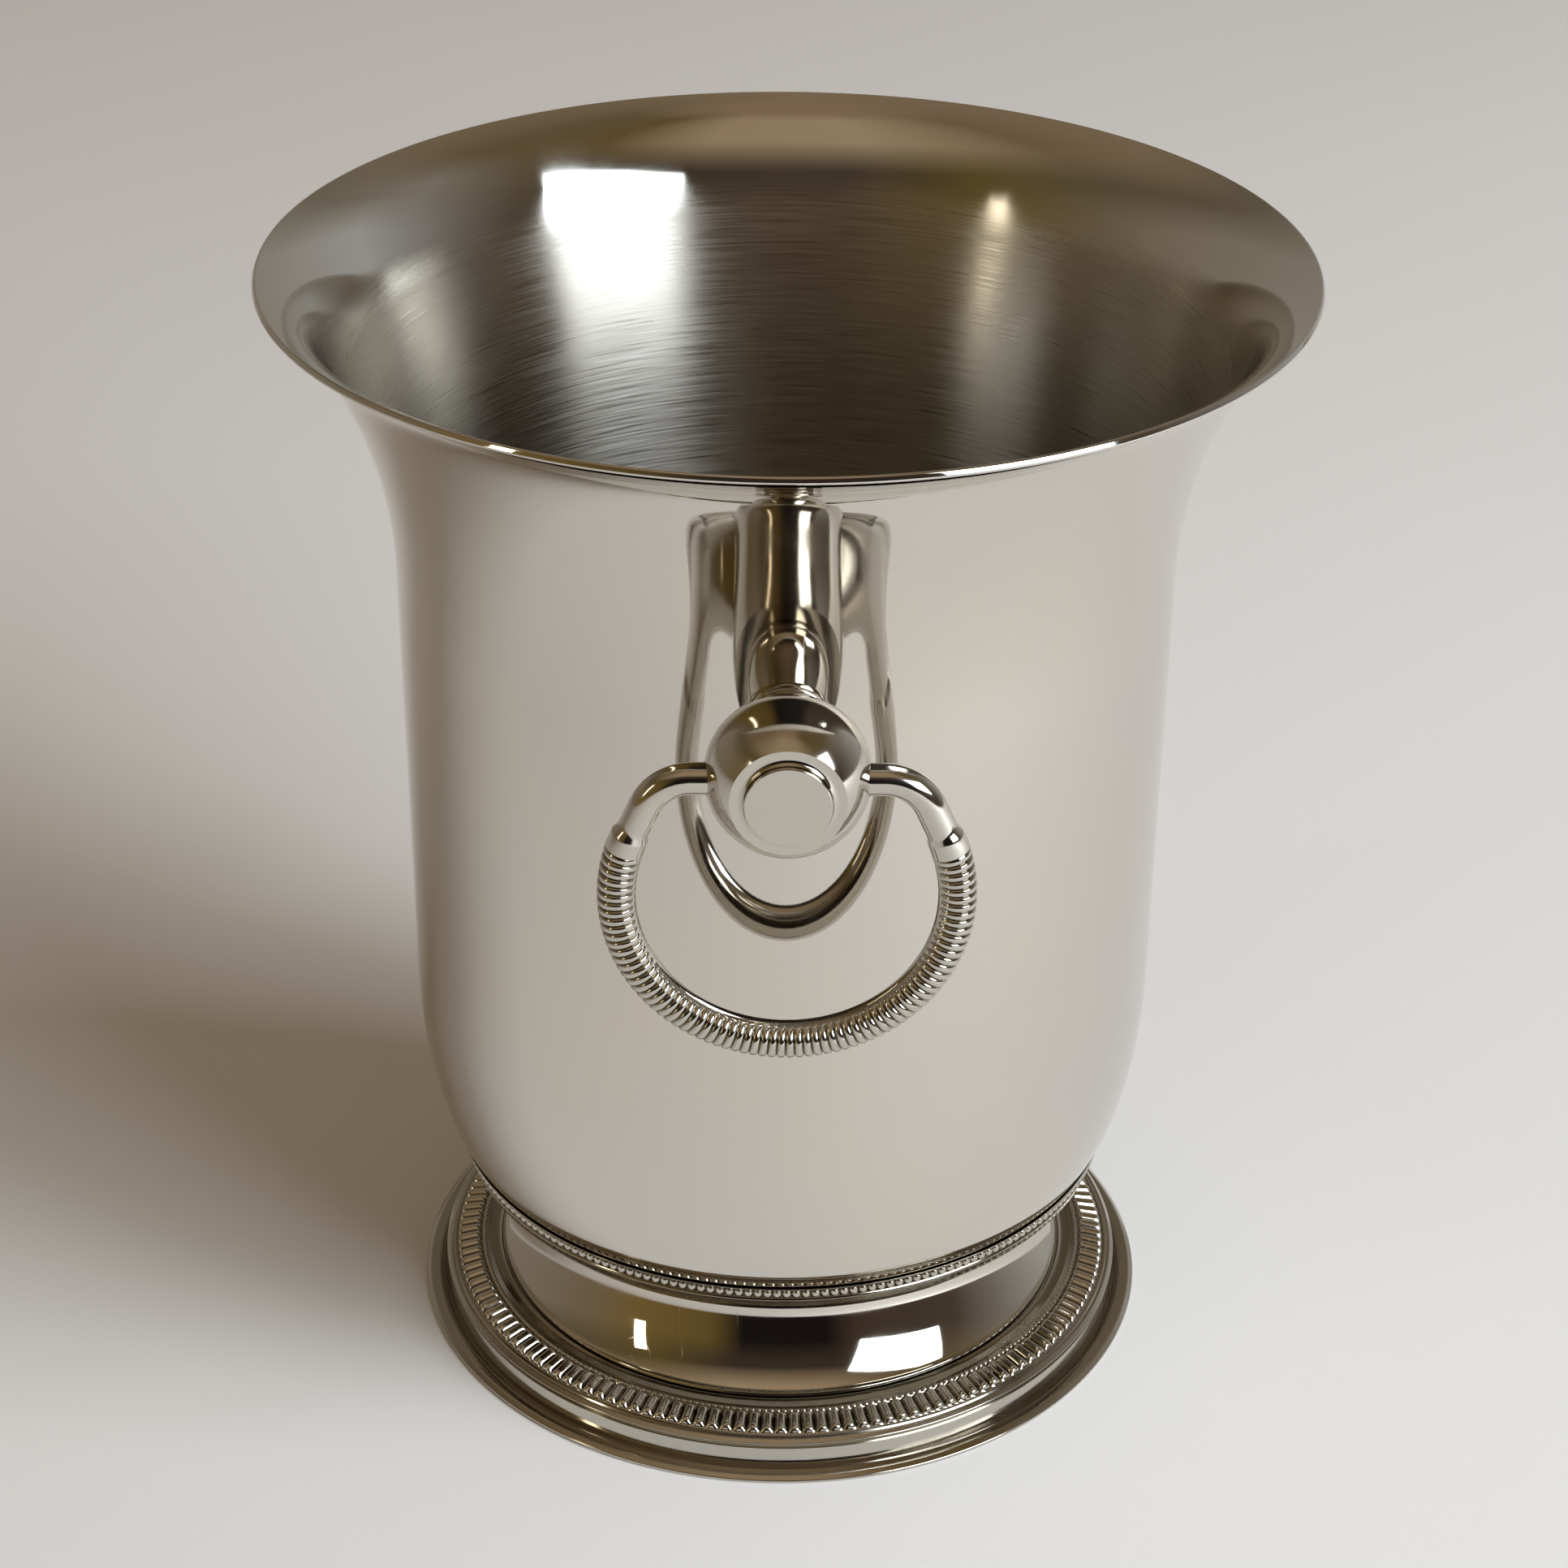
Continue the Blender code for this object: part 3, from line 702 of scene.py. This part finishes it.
def make_nut():
    """A hexagon nut: a turned ring whose outside is drawn in to the six flats, with chamfered corners."""
    low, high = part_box("foot_nut")
    flat = min(high.x, high.y)
    corner = flat / math.cos(math.radians(30))
    ring = rounded([
        (STUD_HOLE_R + 0.5 * MM, low.z, 0),
        (STUD_HOLE_R, low.z + 0.5 * MM, 0),
        (STUD_HOLE_R, high.z - 0.5 * MM, 0),
        (STUD_HOLE_R + 0.5 * MM, high.z, 0),
        (flat * 0.97, high.z, 0),
        (corner, high.z - 0.8 * MM, 0),
        (corner, high.z - 2.0 * MM, 0),
        (corner, low.z + 2.0 * MM, 0),
        (corner, low.z + 0.8 * MM, 0),
        (flat * 0.97, low.z, 0),
    ])

    def hexagon(verts):
        angle = np.arctan2(verts[:, 1], verts[:, 0])
        radius = np.hypot(verts[:, 0], verts[:, 1])
        sector = angle % math.radians(60) - math.radians(30)
        limit = np.minimum(radius, flat / np.cos(sector))
        return verts * np.stack([limit / radius, limit / radius, np.ones(len(verts))], axis=1)

    turned_piece(
        "steel_foot_nut", [(ring, LUG_STEPS, 0)], "bucket", "foot_nut", [STEEL],
        closed=True, shape=hexagon,
    )


# ---------------------------------------------------------------- lugs

def lug_place(end):
    """Turns a piece's own +Z into the outward direction of the front or back lug, at the ball's centre."""
    turn = Matrix.Rotation(0.0 if end == "front" else math.pi, 4, "Z")
    return turn @ Matrix.Translation((0.0, -PIVOT_OUT, LUG_Z)) @ Matrix.Rotation(math.radians(90), 4, "X")


def on_wall(verts):
    """Lays the back of the wall pad on the bowl; a piece's own -Y is up the wall."""
    for i in np.flatnonzero(verts[:, 2] < PAD_BACK + 0.1 * MM):
        radius = wall_radius(LUG_Z - verts[i, 1])
        verts[i, 2] = math.sqrt(radius**2 - verts[i, 0] ** 2) - PIVOT_OUT + PLAY
    return verts


def lug_piece(kind, end, outline, closed=False, shape=None):
    """A turned piece on the lug's axis."""
    return turned_piece(
        f"silver_{kind}_{end}", [(outline, LUG_STEPS, 0)], "bucket", f"{kind}_{end}",
        [SMALL], closed=closed, place=lug_place(end), shape=shape,
    )


def make_lug(end):
    """Everything that carries a ring."""
    make_pad(end)
    make_stalk(end)
    make_ball(end)
    make_cap(end)


def make_pad(end):
    """The disc on the wall."""
    pad = rounded([
        (TIE_BORE_R, PAD_BACK, 0),
        (TIE_BORE_R, PAD_FRONT, 0),
        (PAD_R, PAD_FRONT, 0.4 * MM),
        (PAD_R, PAD_FRONT - 1.0 * MM, 0),
        (PAD_R - 0.1 * MM, PAD_BACK, 0),
    ])
    lug_piece("wall_pad", end, pad, closed=True, shape=on_wall)


def make_stalk(end):
    """A flange on the wall pad, a thin neck, and a bell that swells to a lip behind the ball."""
    flange = PAD_FRONT + PLAY
    bell = BALL_BACK - PLAY
    neck = flange + 1.4 * MM
    swell = [
        (NECK_R + (BELL_R - NECK_R) * math.sin(math.pi / 2 * share), neck + (bell - 0.8 * MM - neck) * share)
        for share in np.linspace(0, 1, 24)
    ]
    stalk = rounded([
        (TIE_BORE_R, flange, 0),
        (FLANGE_R, flange, 0.3 * MM),
        (FLANGE_R, flange + 0.9 * MM, 0.4 * MM),
        (NECK_R, neck - 0.1 * MM, 0.3 * MM),
        (*swell[1], 0),
    ])
    stalk += swell[2:]
    stalk += rounded([
        (BELL_R, bell - 0.7 * MM, 0),
        (BELL_R + 0.25 * MM, bell - 0.6 * MM, 0.1 * MM),
        (BELL_R + 0.25 * MM, bell, 0.2 * MM),
        (TIE_BORE_R, bell, 0),
    ])
    lug_piece("stalk", end, stalk, closed=True)


def make_cap(end):
    """The disc in the ball's front, very slightly crowned."""
    crown = CAP_TOP + 0.03 * MM
    cap = rounded([
        (0.0, CAP_SEAT, 0),
        (CAP_R, CAP_SEAT, 0),
        (CAP_R, CAP_TOP, 0.3 * MM),
        (CAP_R * 0.5, crown, 4 * MM),
        (0.0, crown, 0),
    ])
    lug_piece("ball_cap", end, cap)


def make_ball(end):
    """The ball: a blunt front with a ring-shaped face round the cap, and bores for the ring's arms."""
    face_z = BALL_EQUATOR + BALL_FRONT * math.sqrt(1 - (FACE_R / BALL_R) ** 2)
    back_r = BALL_R * math.sqrt(1 - ((BALL_BACK - BALL_EQUATOR) / BALL_REAR) ** 2)
    front = math.degrees(math.atan2((face_z - BALL_EQUATOR) / BALL_FRONT, FACE_R / BALL_R))
    back = math.degrees(math.atan2((BALL_BACK - BALL_EQUATOR) / BALL_REAR, back_r / BALL_R))
    outline = [(0.0, CAP_SEAT - 0.1 * MM), (CAP_R + 0.1 * MM, CAP_SEAT - 0.1 * MM)]
    outline += ellipse((CAP_R + 1.2 * MM, face_z + 0.7 * MM), 1.1 * MM, 0.75 * MM, 180, 270, 8)
    outline += ellipse((0.0, BALL_EQUATOR), BALL_R, BALL_FRONT, front, 0, 30)
    outline += ellipse((0.0, BALL_EQUATOR), BALL_R, BALL_REAR, 0, back, 30)[1:]
    outline += [(TIE_BORE_R, BALL_BACK), (TIE_BORE_R, TIE_BORE_END), (0.0, TIE_BORE_END)]
    ball = lug_piece("ball", end, outline)
    for side in (-1, 1):
        drill(ball, end, side)


def drill(ball, end, side):
    """A blind round bore for an arm of the ring, cut as real geometry."""
    steps = 48
    radius = ARM_R + BORE_PLAY
    blind_x, open_x = ARM_END_X - 0.3 * MM, BALL_R + 2 * MM
    verts, faces = [], []
    for x in (blind_x, open_x):
        for k in range(steps):
            angle = k * TURN / steps
            verts.append((side * x, radius * math.cos(angle), radius * math.sin(angle)))
    for k in range(steps):
        n = (k + 1) % steps
        faces.append([k, n, steps + n, steps + k])
    faces += [list(range(steps))[::-1], list(range(steps, 2 * steps))]
    verts = np.array(verts)
    if enclosed_volume(verts, faces) < 0:
        faces = [face[::-1] for face in faces]
    mesh = bpy.data.meshes.new(f"arm_bore_{end}_{side}")
    mesh.from_pydata(verts.tolist(), [], faces)
    cutter = bpy.data.objects.new(mesh.name, mesh)
    bpy.context.scene.collection.objects.link(cutter)
    cutter.matrix_world = Matrix.Translation(HINGES[f"{end}_ring"])
    bpy.context.view_layer.update()
    boolean = ball.modifiers.new("bore", "BOOLEAN")
    boolean.object = cutter
    bpy.context.view_layer.objects.active = ball
    ball.modifiers.move(len(ball.modifiers) - 1, 0)
    bpy.ops.object.modifier_apply(modifier="bore")
    bpy.data.objects.remove(cutter)


# ---------------------------------------------------------------- ring handles

def ring_sections():
    """(x, z, section radius, rib phase or None) from the end of the right arm to the end of the left."""
    down = Vector((math.sin(GRIP_ANGLE), -math.cos(GRIP_ANGLE)))
    grip = Vector((LOOP_R * math.cos(GRIP_ANGLE), LOOP_R * math.sin(GRIP_ANGLE) - LOOP_DROP))
    turn = math.pi / 2 - GRIP_ANGLE
    bend_end_z = -BEND_R * (1 - math.cos(turn))
    straight_length = (bend_end_z - grip.y) / -down.y
    bend_x = grip.x - straight_length * down.x - BEND_R * math.sin(turn)
    half = [(ARM_END_X + 0.1 * MM, 0.0, ARM_R - 0.3 * MM, None), (ARM_END_X + 0.4 * MM, 0.0, ARM_R, None)]
    half += [(x, 0.0, ARM_R, None) for x in np.linspace(ARM_END_X + MM, bend_x, 8)[:-1]]
    for angle in np.linspace(0, turn, 25):
        half.append((bend_x + BEND_R * math.sin(angle), -BEND_R * (1 - math.cos(angle)), ARM_R, None))
    shoulder = 0.9 * MM
    for share in np.linspace(0, 1, 9)[1:]:
        length = straight_length * share
        point = Vector((bend_x + BEND_R * math.sin(turn), bend_end_z)) + down * length
        grown = max(0.0, 1 - (straight_length - length) / shoulder)
        half.append((point.x, point.y, ARM_R + (GRIP_R - ARM_R) * 0.8 * grown, None))
    for angle in np.linspace(GRIP_ANGLE, RIB_ANGLE, 7)[1:]:
        share = (GRIP_ANGLE - angle) / (GRIP_ANGLE - RIB_ANGLE)
        radius = ARM_R + (GRIP_R - ARM_R) * (0.8 + 0.2 * share)
        half.append((LOOP_R * math.cos(angle), LOOP_R * math.sin(angle) - LOOP_DROP, radius, None))
    ribs = []
    sweep = math.pi + 2 * RIB_ANGLE
    total = RIBS * RIB_STEPS
    for i in range(1, total):
        angle = RIB_ANGLE - sweep * i / total
        phase = (i / RIB_STEPS) % 1.0
        ribs.append((LOOP_R * math.cos(angle), LOOP_R * math.sin(angle) - LOOP_DROP, GRIP_R, phase))
    return half + ribs + [(-x, z, r, None) for x, z, r, _ in reversed(half)]


def rib_depth(phase, side_angle):
    """How far the surface falls between ribs, round the section; side_angle is 0 on the loop's outer side."""
    if phase is None:
        return 0.0
    crest = math.sqrt(max(0.0, 1 - (2 * phase - 1) ** 2 * 0.97))
    away = (side_angle + math.pi) % TURN - math.pi
    front = 0.5 + 0.5 * math.tanh((math.cos(away - math.radians(70)) - 0.22) * 8.0)
    return (1 - crest) * RIB_DEPTH * front


def make_ring(end):
    body = f"{end}_ring"
    sections = ring_sections()
    centres = np.array([(x, z) for x, z, _, _ in sections])
    along = np.gradient(centres, axis=0)
    along /= np.linalg.norm(along, axis=1)[:, None]
    outward = 1 if end == "front" else -1
    verts, recess_shade = [], []
    for (x, z, radius, phase), (ax, az) in zip(sections, along):
        side = Vector((-az, ax))
        for k in range(RING_SIDES):
            angle = TURN * k / RING_SIDES
            depth = rib_depth(phase, angle)
            r = radius - depth
            verts.append((
                x + side.x * r * math.cos(angle),
                -outward * r * math.sin(angle),
                z + side.y * r * math.cos(angle),
            ))
            # painted shade with tarnish between the ribs, deeper with the groove
            recess_shade.append(min(1.0, depth / (0.5 * MM)))
    faces, corners = [], []
    length = np.concatenate([[0], np.cumsum(np.linalg.norm(np.diff(centres, axis=0), axis=1))])
    for i in range(len(sections) - 1):
        for k in range(RING_SIDES):
            n = (k + 1) % RING_SIDES
            a, b = i * RING_SIDES, (i + 1) * RING_SIDES
            faces.append([a + k, a + n, b + n, b + k])
            u, w = k / RING_SIDES, (k + 1) / RING_SIDES
            corners.append([(u, length[i]), (w, length[i]), (w, length[i + 1]), (u, length[i + 1])])
    last = (len(sections) - 1) * RING_SIDES
    faces += [list(range(RING_SIDES))[::-1], [last + k for k in range(RING_SIDES)]]
    corners += [[(0.0, 0.0)] * RING_SIDES] * 2
    verts = np.array(verts) + np.array(HINGES[body])
    add_piece(
        f"silver_{end}_ring", verts, faces, body, f"ring_{end}", [WORKED],
        corners=corners, recess_shade=recess_shade,
    )


# ---------------------------------------------------------------- floor, light and camera

def make_floor():
    half = 4.0
    corners = [(-half, -half, 0), (half, -half, 0), (half, half, 0), (-half, half, 0)]
    mesh = bpy.data.meshes.new("floor")
    mesh.from_pydata(corners, [], [(0, 1, 2, 3)])
    material = bpy.data.materials.new("pale_floor")
    material.use_nodes = True
    tree = material.node_tree
    shader = tree.nodes["Principled BSDF"]
    shader.inputs["Roughness"].default_value = 0.75
    place = node(tree, "TexCoord").outputs["Object"]
    tone = noise(tree, place, 3.0, 2.0)
    tree.links.new(mixed(tree, tone, (0.80, 0.79, 0.78), (0.84, 0.835, 0.83)), shader.inputs["Base Color"])
    mesh.materials.append(material)
    floor = bpy.data.objects.new("floor", mesh)
    bpy.context.scene.collection.objects.link(floor)


def add_light(name, azimuth, elevation, distance, size, power, colour, seen=True):
    """A soft rectangular light that faces the bucket, reflected in it if seen. Azimuth 90 is right."""
    data = bpy.data.lights.new(name, "AREA")
    data.shape = "RECTANGLE"
    data.size, data.size_y = size
    data.energy = power
    data.color = colour
    light = bpy.data.objects.new(name, data)
    bpy.context.scene.collection.objects.link(light)
    a, e = math.radians(azimuth), math.radians(elevation)
    away = Vector((math.sin(a) * math.cos(e), -math.cos(a) * math.cos(e), math.sin(e)))
    target = Vector((0, 0, HEIGHT / 2))
    light.location = target + away * distance
    light.rotation_mode = "QUATERNION"
    light.rotation_quaternion = (-away).to_track_quat("-Z", "Y")
    light.visible_glossy = seen


def azimuth_ramp(tree, turn, stops):
    """Colours round the horizon, from (azimuth, colour) stops: 0 is in front, 90 to the right.

    The first stop is straight behind, at -180, and comes round again at 180.
    """
    stops = [*stops, (180, stops[0][1])]
    ramp = node(tree, "ValToRGB", {0: turn})
    elements = ramp.color_ramp.elements
    while len(elements) < len(stops):
        elements.new(0.5)
    for element, (azimuth, colour) in zip(elements, stops):
        element.position = azimuth / 360 + 0.5
        element.color = (*colour, 1.0)
    return ramp.outputs[0]


def make_room():
    """A dim warm room in front of the bucket and pale walls round the rest of it."""
    world = bpy.data.worlds.new("studio")
    world.use_nodes = True
    tree = world.node_tree
    direction = node(tree, "TexCoord").outputs["Generated"]
    split = node(tree, "SeparateXYZ", {0: direction}).outputs
    forward = maths(tree, "MULTIPLY", split[1], -1.0)
    turn = ranged(tree, maths(tree, "ARCTAN2", split[0], forward), -math.pi, math.pi, 0.0, 1.0)
    low = azimuth_ramp(tree, turn, [
        (-180, (0.28, 0.25, 0.21)),
        (-120, (0.24, 0.20, 0.15)),
        (-85, (0.20, 0.15, 0.09)),
        (-62, (0.20, 0.13, 0.04)),
        (-30, (0.15, 0.10, 0.03)),
        (-16, (0.012, 0.009, 0.008)),
        (20, (0.012, 0.009, 0.009)),
        (32, (0.06, 0.04, 0.03)),
        (78, (0.08, 0.06, 0.045)),
        (98, (0.20, 0.18, 0.165)),
        (130, (0.42, 0.42, 0.41)),
    ])
    high = azimuth_ramp(tree, turn, [
        (-180, (0.16, 0.13, 0.09)),
        (-100, (0.13, 0.10, 0.06)),
        (-55, (0.13, 0.09, 0.03)),
        (-20, (0.05, 0.035, 0.025)),
        (25, (0.05, 0.035, 0.025)),
        (55, (0.07, 0.05, 0.02)),
        (80, (0.14, 0.11, 0.07)),
        (110, (0.26, 0.23, 0.19)),
    ])
    top = azimuth_ramp(tree, turn, [
        (-180, (0.26, 0.19, 0.12)),
        (-90, (0.20, 0.14, 0.08)),
        (-25, (0.40, 0.30, 0.19)),
        (25, (0.38, 0.28, 0.18)),
        (60, (0.15, 0.10, 0.04)),
        (110, (0.15, 0.11, 0.06)),
    ])
    rise = split[2]
    wall = mixed(tree, ranged(tree, rise, 0.32, 0.55, 0.0, 1.0), low, high)
    ceiling = mixed(tree, ranged(tree, rise, 0.60, 0.78, 0.0, 1.0), wall, top)
    sky = mixed(tree, ranged(tree, rise, 0.96, 0.995, 0.0, 1.0), ceiling, (0.28, 0.19, 0.12))
    background = tree.nodes["Background"]
    tree.links.new(sky, background.inputs["Color"])
    background.inputs["Strength"].default_value = 1.0
    bpy.context.scene.world = world


def make_camera():
    """Looks down on the bucket from in front."""
    turn = math.radians(-0.42)
    distance, height = 627.7 * MM, 467.4 * MM
    pitch, roll = math.radians(29.14), math.radians(0.50)
    data = bpy.data.cameras.new("camera")
    data.lens = 81.34
    data.sensor_width = 36.0
    data.clip_start = 0.01
    camera = bpy.data.objects.new("camera", data)
    bpy.context.scene.collection.objects.link(camera)
    spin = Matrix.Rotation(turn, 4, "Z")
    aim = Matrix.Rotation(math.radians(90) - pitch, 4, "X") @ Matrix.Rotation(roll, 4, "Z")
    camera.matrix_world = spin @ Matrix.Translation((0.0, -distance, height)) @ aim
    bpy.context.scene.camera = camera


make_camera()
bowl_outline = make_shell()
make_collar(bowl_outline)
make_neck()
make_border()
make_stud()
make_plate("foot_clamp_plate", 0.5 * MM)
make_plate("foot_washer", 0.35 * MM)
make_nut()
for end in ("front", "back"):
    make_lug(end)
    make_ring(end)
    tie = frame["nodes"][f"tie_stud_{end}"]
    for slot in tie.material_slots:
        slot.material = STEEL
make_floor()
make_room()
add_light("window", 51, 29, 2.4, (1.45, 0.95), 42.0, (0.86, 0.93, 1.0))
add_light("daylight", 69, 26, 3.2, (1.7, 1.3), 84.0, (0.93, 0.96, 1.0), seen=False)
add_light("far_window", -60, 21, 2.4, (0.2, 0.75), 2.4, (1.0, 0.90, 0.72))
bpy.context.scene.view_settings.view_transform = "Standard"
